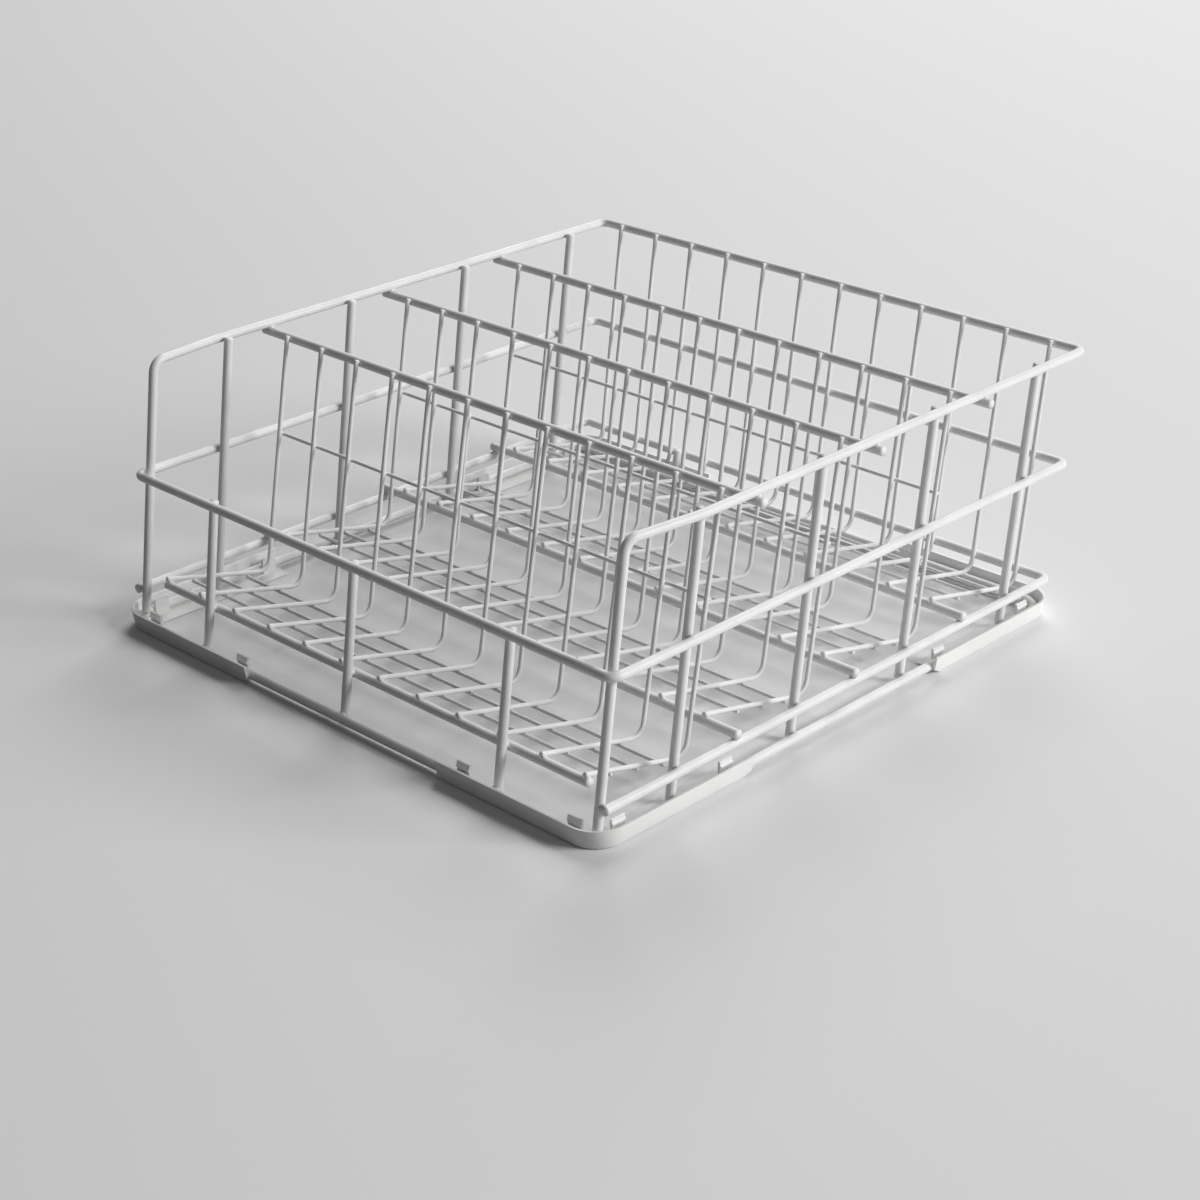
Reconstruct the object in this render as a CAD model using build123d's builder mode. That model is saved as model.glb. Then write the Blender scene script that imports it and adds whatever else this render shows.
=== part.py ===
"""Dishwasher glass rack: a basket of welded, coated wire with four rows of leaning glass wires.

X runs to the right, Y to the back and Z up. The rack stands on z = 0, on four moulded corner guards,
and its box is centred on X and Y. Each wire lies one weld gap from the wires that it is welded to.
"""
import os
from math import asin, atan, atan2, cos, hypot, radians, sin, sqrt, tan

from build123d import *

# Base, measured over the rims of the guards
base_width = 500.0
base_depth = 500.0

# Wires over their coating, and the gap that a weld fills
frame_wire = 6.8
slot_wire = 3.4
rod_wire = 2.8
weld_gap = 0.1

# Flats round a wire, and short turns in a bend, few enough to keep the mesh light
frame_flats = 16
thin_flats = 8
bend_turns = 4

# Heights of the frame's wires at their centres, above the floor
lower_rail_z = 26.4
mid_ring_z = 116.0
top_rail_z = 201.0

# Lean of the posts towards the back, from upright
post_rake = 7.8

# Bends of the frame's wires, at their centres
tight_bend = 7.0
front_bend = 10.0
jog_bend = 60.0

# Posts: places along the base, and where they end, below the base ring's centre and above their top wire's
side_post_count = 4
first_post_inset = 83.0
last_post_inset = 55.0
front_post_count = 3
front_post_pitch = 153.0
front_post_shift = -7.0
post_foot_drop = 1.6
post_top_rise = 0.5
back_post_rise = 2.0
back_post_offset = 10.0
jog_lead = 8.0

# Rows of glass wires and the bars that carry them
row_count = 4
first_divider_inset = 155.0
first_corner_inset = 117.7
bar_gap = 20.8
bar_overhang = 3.0
divider_overhang = 6.5
slot_pitch = 39.45
row_side_gap = 18.5
row_end_overhang = 2.5
slot_corner_z = 14.4
slot_bend = 10.0
slot_tip_over = 3.4

# Thin rods across each row
rod_end_overhang = 0.4
floor_rod_reaches = (20.0, 45.0, 70.0)
divider_rod_z = 122.0

# Corner guards
guard_leg = 150.0
guard_corner = 24.0
rim_height = 14.5
guard_wall = 2.2
guard_draft = 2.7
guard_foot_bevel = 1.2
sole_thickness = 2.0
ring_clearance = 0.2
ring_bend_ease = 3.0
runner_width = 11.0
runner_thickness = 1.4
lead_in_length = 9.0
lead_in_height = 4.0
tab_width = 12.0
tab_thickness = 2.0
tab_top = 14.2
tab_nib = 1.2
tab_nib_height = 3.0
corner_tab_inset = 31.0
end_tab_inset = 16.0

# The base ring lies in the guards, its bends a little easier than their corners
lean_angle = atan(guard_draft / rim_height)
ring_z = sole_thickness + ring_clearance + frame_wire / 2
ring_wall_lean = guard_draft * (rim_height - ring_z) / rim_height
ring_inset = ring_wall_lean + guard_wall + (frame_wire / 2 + ring_clearance) / cos(lean_angle)
ring_x = base_width / 2 - ring_inset
ring_half_depth = base_depth / 2 - ring_inset
guard_bend = guard_corner - ring_inset
ring_bend = guard_bend + ring_bend_ease

# Spacing of wires that touch side by side, and of posts that lean against level wires
wire_step = frame_wire + weld_gap
post_slope = tan(radians(post_rake))
post_step = wire_step / cos(radians(post_rake))
post_x = ring_x - wire_step

# The box is centred on Y, so the base's middle lies in front of the origin
rake_reach = ring_half_depth + post_slope * (top_rail_z - ring_z) + frame_wire / 2
box_back = max(base_depth / 2, rake_reach)
base_y = (base_depth / 2 - box_back) / 2
front_rim_y = base_y - base_depth / 2
back_rim_y = base_y + base_depth / 2

os.makedirs("parts", exist_ok=True)


def front_rail_y(z):
    """Centre of a front wire at a height, in the leaning plane of the frame's front."""
    return base_y - ring_half_depth + post_slope * (z - ring_z)


def back_rail_y(z):
    """Centre of a back wire at a height, in the leaning plane of the frame's back."""
    return base_y + ring_half_depth + post_slope * (z - ring_z)


def front_post_y(z):
    """Centre of a front post or leg, against the inner side of the front wires."""
    return front_rail_y(z) + post_step


def back_post_y(z):
    """Centre of a back post, against the inner side of the back wires."""
    return back_rail_y(z) - post_step


def flush_top(wire_z):
    """Height where a leaning post ends flush with the top of a level wire."""
    return wire_z + frame_wire / 2 * (1 - sin(radians(post_rake)))


def save(builder, name):
    """Label a finished piece and write its file."""
    builder.part.label = name
    export_step(builder.part, f"parts/{name}.step")


def bent_route(points, radii):
    """Points of a wire's axis, with each bend drawn as equal short turns round its arc."""
    stops = [Vector(*point) for point in points]
    route = [stops[0]]
    for before, corner, after, radius in zip(stops, stops[1:], stops[2:], radii):
        heading = (corner - before).normalized()
        leaving = (after - corner).normalized()
        turn = heading.get_angle(leaving)
        hinge = Axis((0, 0, 0), heading.cross(leaving))
        half_facet = radius * tan(radians(turn / bend_turns / 2))
        point = corner - heading * (radius * tan(radians(turn / 2)) - half_facet)
        for _ in range(bend_turns):
            route.append(point)
            heading = heading.rotate(hinge, turn / bend_turns)
            point = point + heading * (2 * half_facet)
    return route + [stops[-1]]


def wire_along(route, diameter, flats, closed=False):
    """One length of wire along a route, cut square at its ends or closed to a ring."""
    first_run = Vector(route[1]) - Vector(route[0])
    with BuildPart() as wire:
        with BuildLine():
            Polyline(*route, close=closed)
        with BuildSketch(Plane(origin=route[0], z_dir=first_run)):
            RegularPolygon(diameter / 2, flats)
        sweep(transition=Transition.RIGHT)
    return wire


def frame_post(name, foot, tip):
    """One straight frame wire between two points."""
    save(wire_along([foot, tip], frame_wire, frame_flats), name)


def cross_wire(name, y, z, half_length, diameter, flats):
    """One straight wire from left to right."""
    save(wire_along([(-half_length, y, z), (half_length, y, z)], diameter, flats), name)


def frame_ring(name, z, bend):
    """One closed frame wire at a height, its ends joined in the middle of the front."""
    joint = (0, front_rail_y(z), z)
    corners = [
        (ring_x, front_rail_y(z), z),
        (ring_x, back_rail_y(z), z),
        (-ring_x, back_rail_y(z), z),
        (-ring_x, front_rail_y(z), z),
    ]
    route = bent_route([joint, *corners, joint], [bend] * len(corners))
    save(wire_along(route[:-1], frame_wire, frame_flats, closed=True), name)


# Base ring, which lies in the guards, and middle ring, with tight bends round the front legs
frame_ring("base_ring", ring_z, ring_bend)
frame_ring("mid_ring", mid_ring_z, tight_bend)

# Lower rail: a U of sides and back, its ends level with the front of the legs
lower_end_y = front_post_y(lower_rail_z) - frame_wire / 2
lower_points = [
    (-ring_x, lower_end_y, lower_rail_z),
    (-ring_x, back_rail_y(lower_rail_z), lower_rail_z),
    (ring_x, back_rail_y(lower_rail_z), lower_rail_z),
    (ring_x, lower_end_y, lower_rail_z),
]
lower_route = bent_route(lower_points, [tight_bend, tight_bend])
save(wire_along(lower_route, frame_wire, frame_flats), "lower_rail")

# Side posts stand inside the ring and the rails, evenly spaced along each side
post_spacing = (base_depth - first_post_inset - last_post_inset) / (side_post_count - 1)
post_feet = [front_rim_y + first_post_inset + post_spacing * i for i in range(side_post_count)]
post_foot_z = ring_z - post_foot_drop
side_post_top_z = top_rail_z + post_top_rise
for side_name, side in (("left", -1), ("right", 1)):
    for number, foot_y in enumerate(post_feet, start=1):
        foot = (side * post_x, foot_y + post_slope * (post_foot_z - ring_z), post_foot_z)
        tip = (side * post_x, foot_y + post_slope * (side_post_top_z - ring_z), side_post_top_z)
        frame_post(f"side_post_{side_name}_{number}", foot, tip)

# Top rail: one wire from foot to foot, its front legs standing on the base ring's front bends
leg_foot_z = ring_z + frame_wire / 2 + weld_gap
jog_y = post_feet[0] + post_slope * (top_rail_z - ring_z) - jog_lead
right_run = [
    (post_x, front_post_y(leg_foot_z), leg_foot_z),
    (post_x, front_post_y(top_rail_z), top_rail_z),
    (ring_x, jog_y, top_rail_z),
    (ring_x, back_rail_y(top_rail_z), top_rail_z),
]
left_run = [(-x, y, z) for x, y, z in right_run]
top_bends = [front_bend, jog_bend, tight_bend]
top_route = bent_route(left_run + right_run[::-1], top_bends + top_bends[::-1])
save(wire_along(top_route, frame_wire, frame_flats), "top_rail")

# Front posts rise from the base ring to the middle ring
front_post_top_z = mid_ring_z + post_top_rise
for number in range(1, front_post_count + 1):
    x = front_post_shift + front_post_pitch * (number - (front_post_count + 1) / 2)
    foot = (x, front_post_y(post_foot_z), post_foot_z)
    tip = (x, front_post_y(front_post_top_z), front_post_top_z)
    frame_post(f"front_post_{number}", foot, tip)

# Places of the glass wires across a row
slot_span = 2 * (post_x - row_side_gap)
slot_count = round(slot_span / slot_pitch) + 1
slot_half = slot_pitch * (slot_count - 1) / 2
slot_places = [slot_pitch * i - slot_half for i in range(slot_count)]
row_half = slot_half + row_end_overhang
rod_half = slot_half + rod_end_overhang

# Short back posts tie the base ring to the lower rail, clear of the guards' end tabs
end_tab_reach = guard_leg - end_tab_inset - tab_width / 2
back_post_limit = base_width / 2 - end_tab_reach + frame_wire / 2 + weld_gap
back_post_x = min(x - back_post_offset for x in slot_places if x - back_post_offset > back_post_limit)
back_post_top_z = flush_top(lower_rail_z) + back_post_rise
for side_name, side in (("left", -1), ("right", 1)):
    foot = (side * back_post_x, back_post_y(post_foot_z), post_foot_z)
    tip = (side * back_post_x, back_post_y(back_post_top_z), back_post_top_z)
    frame_post(f"back_post_{side_name}", foot, tip)

# Divider bars hang under the top rail, and the last row leans on the rail itself
divider_z = top_rail_z - wire_step
first_divider_y = front_rim_y + first_divider_inset
row_pitch = (back_rail_y(top_rail_z) - first_divider_y) / (row_count - 1)
divider_places = [first_divider_y + row_pitch * i for i in range(row_count - 1)]
for number, y in enumerate(divider_places, start=1):
    cross_wire(f"divider_bar_{number}", y, divider_z, ring_x + divider_overhang, frame_wire, frame_flats)

# Offsets between the axes of thick and thin wires that touch
slot_step = (frame_wire + slot_wire) / 2 + weld_gap
rod_step = (slot_wire + rod_wire) / 2 + weld_gap

# Corners of the glass wires: evenly spaced, the last row's wires lying along the back of the frame
first_corner_y = front_rim_y + first_corner_inset
last_corner_y = back_rail_y(slot_corner_z) - slot_step / cos(radians(post_rake))
corner_pitch = (last_corner_y - first_corner_y) / (row_count - 1)
corner_places = [first_corner_y + corner_pitch * i for i in range(row_count)]

# Cross bars carry the rows' front ends: the first on the front posts, the others on the lower rail
bar_z = lower_rail_z + wire_step
bar_places = [front_post_y(bar_z) + post_step] + [y + bar_gap for y in corner_places[:-1]]
cross_wire("cross_bar_1", bar_places[0], bar_z, row_half, frame_wire, frame_flats)
for number, y in enumerate(bar_places[1:], start=2):
    cross_wire(f"cross_bar_{number}", y, bar_z, ring_x + bar_overhang, frame_wire, frame_flats)


def floor_pitch(bar_y, corner_y):
    """Rise of a row's floor towards the front, from the corner to where it lies on its bar."""
    reach = hypot(corner_y - bar_y, bar_z - slot_corner_z)
    return atan2(bar_z - slot_corner_z, corner_y - bar_y) + asin(slot_step / reach)


def row_rake(carrier_y, carrier_z, corner_y):
    """Lean of a row's wires, from the corner to where they lie against the front of their carrier."""
    reach = hypot(carrier_y - corner_y, carrier_z - slot_corner_z)
    return atan2(carrier_y - corner_y, carrier_z - slot_corner_z) - asin(slot_step / reach)


def glass_wires(name, points):
    """One row of glass wires: the same bent wire at each place across the row."""
    one_wire = wire_along(bent_route(points, [slot_bend]), slot_wire, thin_flats)
    with BuildPart() as row:
        with Locations(*[(x, 0, 0) for x in slot_places]):
            add(one_wire.part)
    save(row, name)


# Rows: glass wires, the floor rods under them and the divider rods behind them
for row in range(row_count):
    last_row = row == row_count - 1
    carrier_y = back_rail_y(top_rail_z) if last_row else divider_places[row]
    carrier_z = top_rail_z if last_row else divider_z
    corner_y = corner_places[row]
    rake = row_rake(carrier_y, carrier_z, corner_y)
    pitch = floor_pitch(bar_places[row], corner_y)
    floor_run = hypot(corner_y - bar_places[row], bar_z - slot_corner_z)
    floor_run = sqrt(floor_run**2 - slot_step**2) + slot_tip_over
    lean_run = (carrier_z + frame_wire / 2 - slot_corner_z) / cos(rake) - slot_wire / 2 * tan(rake)
    wire_points = [
        (0, corner_y - floor_run * cos(pitch), slot_corner_z + floor_run * sin(pitch)),
        (0, corner_y, slot_corner_z),
        (0, corner_y + lean_run * sin(rake), slot_corner_z + lean_run * cos(rake)),
    ]
    glass_wires(f"glass_wires_row_{row + 1}", wire_points)
    for number, reach in enumerate(floor_rod_reaches, start=1):
        y = corner_y - reach - rod_step * sin(pitch)
        z = slot_corner_z + reach * tan(pitch) - rod_step * cos(pitch)
        cross_wire(f"floor_rod_{row + 1}_{number}", y, z, rod_half, rod_wire, thin_flats)
    if not last_row:
        y = corner_y + (divider_rod_z - slot_corner_z) * tan(rake) + rod_step / cos(rake)
        cross_wire(f"divider_rod_{row + 1}", y, divider_rod_z, rod_half, rod_wire, thin_flats)

# Guard section, outward and up from the line under the base ring
foot_out = ring_inset - guard_draft
sole_wall_out = foot_out + guard_draft * sole_thickness / rim_height - guard_wall
tab_out = -frame_wire / 2 - ring_clearance
sole_in = tab_out - tab_thickness
nib_z = ring_z + frame_wire / 2 + ring_clearance

rim_x = base_width / 2
leg_end_x = rim_x - guard_leg
leg_end_y = front_rim_y + guard_leg
guard_front_y = front_rail_y(ring_z)
tab_planes = []
for inset in (corner_tab_inset, guard_leg - end_tab_inset):
    front_edge = (rim_x - inset + tab_width / 2, guard_front_y, 0)
    side_edge = (ring_x, front_rim_y + inset + tab_width / 2, 0)
    tab_planes.append(Plane(origin=front_edge, x_dir=(0, -1, 0), z_dir=(-1, 0, 0)))
    tab_planes.append(Plane(origin=side_edge, x_dir=(1, 0, 0), z_dir=(0, -1, 0)))
with BuildPart() as guard:
    # Wall and sole follow the base ring round the corner
    with BuildLine() as guard_path:
        FilletPolyline(
            (leg_end_x, guard_front_y, 0),
            (ring_x, guard_front_y, 0),
            (ring_x, leg_end_y, 0),
            radius=[guard_bend],
        )
    with BuildSketch(Plane(origin=guard_path.line @ 0, x_dir=(0, -1, 0), z_dir=(-1, 0, 0))):
        with BuildLine():
            Polyline(
                (sole_in, 0),
                (foot_out, 0),
                (ring_inset, rim_height),
                (ring_inset - guard_wall, rim_height),
                (sole_wall_out, sole_thickness),
                (sole_in, sole_thickness),
                close=True,
            )
        section = make_face()
        chamfer(section.vertices().group_by(Axis.Y)[0].sort_by(Axis.X)[-1], guard_foot_bevel)
    sweep()
    # Runner: the side leg's sole is wider, to slide on the machine's rails
    with BuildSketch():
        with BuildLine():
            Polyline(
                (ring_x + sole_in, guard_front_y - sole_in),
                (ring_x + sole_in - runner_width, guard_front_y - sole_in),
                (ring_x + sole_in - runner_width, leg_end_y),
                (ring_x + sole_in, leg_end_y),
                close=True,
            )
        make_face()
    extrude(amount=runner_thickness)
    # Clip tabs on the sole's inner edge, with a nib over the base ring
    for plane in tab_planes:
        with BuildSketch(plane):
            with BuildLine():
                Polyline(
                    (sole_in, 0),
                    (sole_in, tab_top),
                    (tab_out, tab_top),
                    (tab_out, nib_z + tab_nib_height),
                    (tab_out + tab_nib, nib_z + tab_nib),
                    (tab_out, nib_z),
                    (tab_out, 0),
                    close=True,
                )
            make_face()
        extrude(amount=tab_width)
    # Lead-in under each leg's end
    with BuildSketch(Plane.XZ.offset(-back_rim_y)):
        with BuildLine():
            Polyline(
                (leg_end_x, 0),
                (leg_end_x + lead_in_length, 0),
                (leg_end_x, lead_in_height),
                close=True,
            )
        make_face()
    extrude(amount=base_depth, mode=Mode.SUBTRACT)
    with BuildSketch(Plane.YZ):
        with BuildLine():
            Polyline(
                (leg_end_y, 0),
                (leg_end_y - lead_in_length, 0),
                (leg_end_y, lead_in_height),
                close=True,
            )
        make_face()
    extrude(amount=rim_x, mode=Mode.SUBTRACT)
save(guard, "corner_guard_front_right")

# The other guards mirror the first
with BuildPart() as guard_left:
    mirror(guard.part, about=Plane.YZ)
save(guard_left, "corner_guard_front_left")
base_middle = Plane.XZ.offset(-base_y)
with BuildPart() as guard_back_right:
    mirror(guard.part, about=base_middle)
save(guard_back_right, "corner_guard_back_right")
with BuildPart() as guard_back_left:
    mirror(guard_left.part, about=base_middle)
save(guard_back_left, "corner_guard_back_left")
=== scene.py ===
"""Looks of a dishwasher glass rack: coated wire, filled welds, moulded corner guards and a plain stage.

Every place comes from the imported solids. Lengths are in metres.
X runs to the right, Y to the back and Z up.
"""
from itertools import combinations
from math import asin, atan2, cos, hypot, pi, radians, sin, sqrt, tan

import bpy
from bpy.props import FloatProperty, FloatVectorProperty, IntProperty, PointerProperty
from bpy.types import Operator, Panel, PropertyGroup
from mathutils import Matrix, Vector
from mathutils.geometry import intersect_line_line


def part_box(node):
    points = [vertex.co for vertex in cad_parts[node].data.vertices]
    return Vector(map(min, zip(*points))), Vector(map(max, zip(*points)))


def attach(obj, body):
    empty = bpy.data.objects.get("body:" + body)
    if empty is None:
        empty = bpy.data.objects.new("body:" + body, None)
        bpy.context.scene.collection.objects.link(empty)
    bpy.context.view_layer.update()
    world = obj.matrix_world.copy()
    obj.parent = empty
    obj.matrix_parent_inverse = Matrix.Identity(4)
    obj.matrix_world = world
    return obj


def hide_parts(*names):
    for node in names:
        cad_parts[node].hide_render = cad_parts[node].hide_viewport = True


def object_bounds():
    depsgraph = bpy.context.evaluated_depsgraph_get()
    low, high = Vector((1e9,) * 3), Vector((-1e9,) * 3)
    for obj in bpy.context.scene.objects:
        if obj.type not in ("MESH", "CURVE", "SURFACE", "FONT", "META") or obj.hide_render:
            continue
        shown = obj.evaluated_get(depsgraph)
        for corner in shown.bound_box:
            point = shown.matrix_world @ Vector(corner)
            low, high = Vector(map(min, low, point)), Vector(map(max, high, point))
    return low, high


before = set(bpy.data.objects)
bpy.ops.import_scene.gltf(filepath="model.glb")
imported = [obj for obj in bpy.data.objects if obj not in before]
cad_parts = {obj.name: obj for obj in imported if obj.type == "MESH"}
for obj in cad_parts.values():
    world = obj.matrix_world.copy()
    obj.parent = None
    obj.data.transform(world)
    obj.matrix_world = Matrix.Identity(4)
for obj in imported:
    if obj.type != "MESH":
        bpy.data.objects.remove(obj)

bl_info = {
    "name": "Dishwasher Glass Rack",
    "version": (1, 0, 0),
    "blender": (4, 5, 0),
    "location": "View3D > Sidebar > Rack",
    "description": "Dresses a wire glass rack with coated wire, welds and moulded guards",
    "category": "Object",
}

CAD_BOX = [list(corner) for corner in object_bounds()]
ROOT_BODY = "root"
WIRE_SLOT = "wire_coating"
GUARD_SLOT = "guard_plastic"

ROW_COUNT = 4
SIDE_POST_COUNT = 4
FRONT_POST_COUNT = 3
FLOOR_ROD_COUNT = 3
SIDES = ("left", "right")
SEEN_RAYS = ("Is Camera Ray", "Is Glossy Ray", "Is Transmission Ray")
SENSOR_WIDTH = 36


def middle(node):
    """Middle of a solid's box."""
    low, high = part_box(node)
    return (low + high) / 2


def height_of(node):
    """Height of a solid's box, which is the thickness of a level wire."""
    low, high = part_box(node)
    return high.z - low.z


class RackWireSettings(PropertyGroup):
    """Sizes of the coated wires."""

    frame_wire: FloatProperty(
        name="Frame Wire",
        description="Thickness of the frame's wire over its coating",
        default=height_of("cross_bar_1"),
        unit="LENGTH",
    )
    slot_wire: FloatProperty(
        name="Glass Wire",
        description="Thickness of the bent wires that hold the glasses",
        default=0.0034,
        unit="LENGTH",
    )
    weld_gap: FloatProperty(
        name="Weld Gap",
        description="Gap between two crossing wires, which their weld fills",
        default=0.0001,
        unit="LENGTH",
    )
    weld_rise: FloatProperty(
        name="Weld Rise",
        description="Height of a weld's rim as a share of the thinner wire",
        default=0.24,
        subtype="FACTOR",
    )
    end_round: FloatProperty(
        name="End Rounding",
        description="Rounding of a wire's end as a share of its thickness",
        default=0.14,
        subtype="FACTOR",
    )
    base_bend: FloatProperty(
        name="Base Bend",
        description="Radius of the base ring's corners",
        default=0.0195,
        unit="LENGTH",
    )
    tight_bend: FloatProperty(
        name="Tight Bend",
        description="Radius of the rails' corners",
        default=0.007,
        unit="LENGTH",
    )
    front_bend: FloatProperty(
        name="Front Bend",
        description="Radius where the top rail turns down into its front legs",
        default=0.010,
        unit="LENGTH",
    )
    jog_bend: FloatProperty(
        name="Jog Bend",
        description="Radius where the top rail swings out past the first side posts",
        default=0.060,
        unit="LENGTH",
    )
    jog_lead: FloatProperty(
        name="Jog Lead",
        description="Distance of that swing in front of the first side posts",
        default=0.008,
        unit="LENGTH",
    )
    slot_bend: FloatProperty(
        name="Glass Wire Bend",
        description="Radius where a glass wire turns up from the floor",
        default=0.010,
        unit="LENGTH",
    )
    slot_corner_z: FloatProperty(
        name="Glass Wire Corner",
        description="Height where a glass wire's two runs would meet",
        default=0.0144,
        unit="LENGTH",
    )
    slot_tip_over: FloatProperty(
        name="Glass Wire Overhang",
        description="Reach of a glass wire past the bar that carries its front end",
        default=0.0034,
        unit="LENGTH",
    )
    slot_count: IntProperty(
        name="Glass Wires",
        description="Number of glass wires in a row",
        default=12,
    )
    post_rake: FloatProperty(
        name="Post Lean",
        description="Lean of the posts and of the last row, from upright",
        default=radians(7.8),
        subtype="ANGLE",
    )
    first_corner_inset: FloatProperty(
        name="First Corner Inset",
        description="Distance of the first row's corners from the front of the guards",
        default=0.1177,
        unit="LENGTH",
    )


class RackGuardSettings(PropertyGroup):
    """Sizes of the moulded corner guards."""

    corner: FloatProperty(
        name="Corner",
        description="Radius of a guard's corner at its rim",
        default=0.024,
        unit="LENGTH",
    )
    wall: FloatProperty(
        name="Wall",
        description="Thickness of the guard's wall",
        default=0.0022,
        unit="LENGTH",
    )
    draft: FloatProperty(
        name="Draft",
        description="How far the wall leans out from foot to rim",
        default=0.0027,
        unit="LENGTH",
    )
    foot_bevel: FloatProperty(
        name="Foot Bevel",
        description="Bevel along the outer foot of the wall",
        default=0.0012,
        unit="LENGTH",
    )
    sole: FloatProperty(
        name="Sole",
        description="Thickness of the sole under the base ring",
        default=0.002,
        unit="LENGTH",
    )
    ring_clearance: FloatProperty(
        name="Ring Clearance",
        description="Gap between the base ring and the guard",
        default=0.0002,
        unit="LENGTH",
    )
    runner_width: FloatProperty(
        name="Runner Width",
        description="Width that the runner adds to the side leg's sole",
        default=0.011,
        unit="LENGTH",
    )
    runner: FloatProperty(
        name="Runner",
        description="Thickness of the runner",
        default=0.0014,
        unit="LENGTH",
    )
    lead_in_length: FloatProperty(
        name="Lead-in Length",
        description="Length of the slope under each leg's end",
        default=0.009,
        unit="LENGTH",
    )
    lead_in_height: FloatProperty(
        name="Lead-in Height",
        description="Height of the slope under each leg's end",
        default=0.004,
        unit="LENGTH",
    )
    tab_width: FloatProperty(
        name="Tab Width",
        description="Width of a clip tab along the base ring",
        default=0.012,
        unit="LENGTH",
    )
    tab: FloatProperty(
        name="Tab",
        description="Thickness of a clip tab",
        default=0.002,
        unit="LENGTH",
    )
    tab_top: FloatProperty(
        name="Tab Top",
        description="Height of the top of a clip tab",
        default=0.0142,
        unit="LENGTH",
    )
    nib: FloatProperty(
        name="Nib",
        description="Reach of a tab's nib over the base ring",
        default=0.0012,
        unit="LENGTH",
    )
    nib_height: FloatProperty(
        name="Nib Height",
        description="Height of a tab's nib",
        default=0.003,
        unit="LENGTH",
    )
    corner_tab_inset: FloatProperty(
        name="Corner Tab Inset",
        description="Distance of the first tab from the outside of the corner",
        default=0.031,
        unit="LENGTH",
    )
    end_tab_inset: FloatProperty(
        name="End Tab Inset",
        description="Distance of the second tab from the end of its leg",
        default=0.016,
        unit="LENGTH",
    )
    edge_round: FloatProperty(
        name="Edge Rounding",
        description="Rounding of the moulding's edges",
        default=0.00045,
        unit="LENGTH",
    )


class RackFinishSettings(PropertyGroup):
    """Colours and gloss of the rack."""

    coating: FloatVectorProperty(
        name="Coating",
        description="Colour of the wire's plastic coating",
        default=(0.835, 0.835, 0.825),
        subtype="COLOR",
        min=0,
        max=1,
    )
    coating_thin: FloatVectorProperty(
        name="Thin Coating",
        description="Colour where the coating is thin",
        default=(0.78, 0.785, 0.785),
        subtype="COLOR",
        min=0,
        max=1,
    )
    coating_roughness: FloatProperty(
        name="Coating Roughness",
        description="Mean roughness of the coating",
        default=0.48,
        subtype="FACTOR",
    )
    moulding: FloatVectorProperty(
        name="Moulding",
        description="Colour of the guards' plastic",
        default=(0.88, 0.88, 0.87),
        subtype="COLOR",
        min=0,
        max=1,
    )
    moulding_roughness: FloatProperty(
        name="Moulding Roughness",
        description="Mean roughness of the guards",
        default=0.42,
        subtype="FACTOR",
    )


class RackStageSettings(PropertyGroup):
    """Floor, light and camera."""

    floor: FloatVectorProperty(
        name="Floor",
        description="Colour of the floor in the picture",
        default=(0.82, 0.82, 0.82),
        subtype="COLOR",
        min=0,
        max=1,
    )
    floor_bounce: FloatVectorProperty(
        name="Floor Bounce",
        description="Colour of the light that the floor throws back on the rack's shaded side",
        default=(0.20, 0.20, 0.20),
        subtype="COLOR",
        min=0,
        max=1,
    )
    lit_bounce: FloatVectorProperty(
        name="Lit Floor Bounce",
        description="Colour of the light that the floor throws back on the side towards the lamp",
        default=(0.88, 0.88, 0.88),
        subtype="COLOR",
        min=0,
        max=1,
    )
    floor_size: FloatProperty(
        name="Floor Size",
        description="Width of the floor",
        default=10.0,
        unit="LENGTH",
    )
    side_place: FloatVectorProperty(
        name="Side Lamp",
        description="Place of the large soft lamp at the right and behind",
        default=(5.2, 2.8, 3.2),
        subtype="TRANSLATION",
    )
    side_power: FloatProperty(
        name="Side Lamp Power",
        description="Power of the lamp at the right",
        default=362.0,
        unit="POWER",
    )
    side_size: FloatProperty(
        name="Side Lamp Size",
        description="Width of the lamp at the right",
        default=3.0,
        unit="LENGTH",
    )
    back_place: FloatVectorProperty(
        name="Back Lamp",
        description="Place of the weaker soft lamp behind and to the left",
        default=(-2.4, 3.8, 4.2),
        subtype="TRANSLATION",
    )
    back_power: FloatProperty(
        name="Back Lamp Power",
        description="Power of the lamp behind",
        default=165.0,
        unit="POWER",
    )
    back_size: FloatProperty(
        name="Back Lamp Size",
        description="Width of the lamp behind",
        default=3.0,
        unit="LENGTH",
    )
    fill: FloatProperty(
        name="Fill",
        description="Strength of the even light from all round",
        default=0.075,
    )
    backdrop: FloatProperty(
        name="Backdrop",
        description="Brightness of the pale backdrop beyond the floor",
        default=0.62,
    )
    azimuth: FloatProperty(
        name="Camera Azimuth",
        description="Turn of the camera round the rack, from the front to the right",
        default=radians(44.132),
        subtype="ANGLE",
    )
    elevation: FloatProperty(
        name="Camera Elevation",
        description="Height of the camera above the horizon",
        default=radians(25.09),
        subtype="ANGLE",
    )
    roll: FloatProperty(
        name="Camera Roll",
        description="Turn of the camera about its own axis",
        default=radians(-0.371),
        subtype="ANGLE",
    )
    distance: FloatProperty(
        name="Camera Distance",
        description="Distance from the camera to the point that it looks at",
        default=1.6504,
        unit="LENGTH",
    )
    target: FloatVectorProperty(
        name="Camera Target",
        description="Point in the middle of the picture",
        default=(0.133283, -0.137106, 0.1),
        subtype="TRANSLATION",
    )
    focal: FloatProperty(
        name="Focal Length",
        description=f"Focal length in millimetres on a sensor {SENSOR_WIDTH} mm wide",
        default=73.892,
    )


# Nodes of the materials, with the sockets of a Mix node that blends colours

FIRST_COLOUR = 6
SECOND_COLOUR = 7
MIXED_COLOUR = 2


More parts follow.
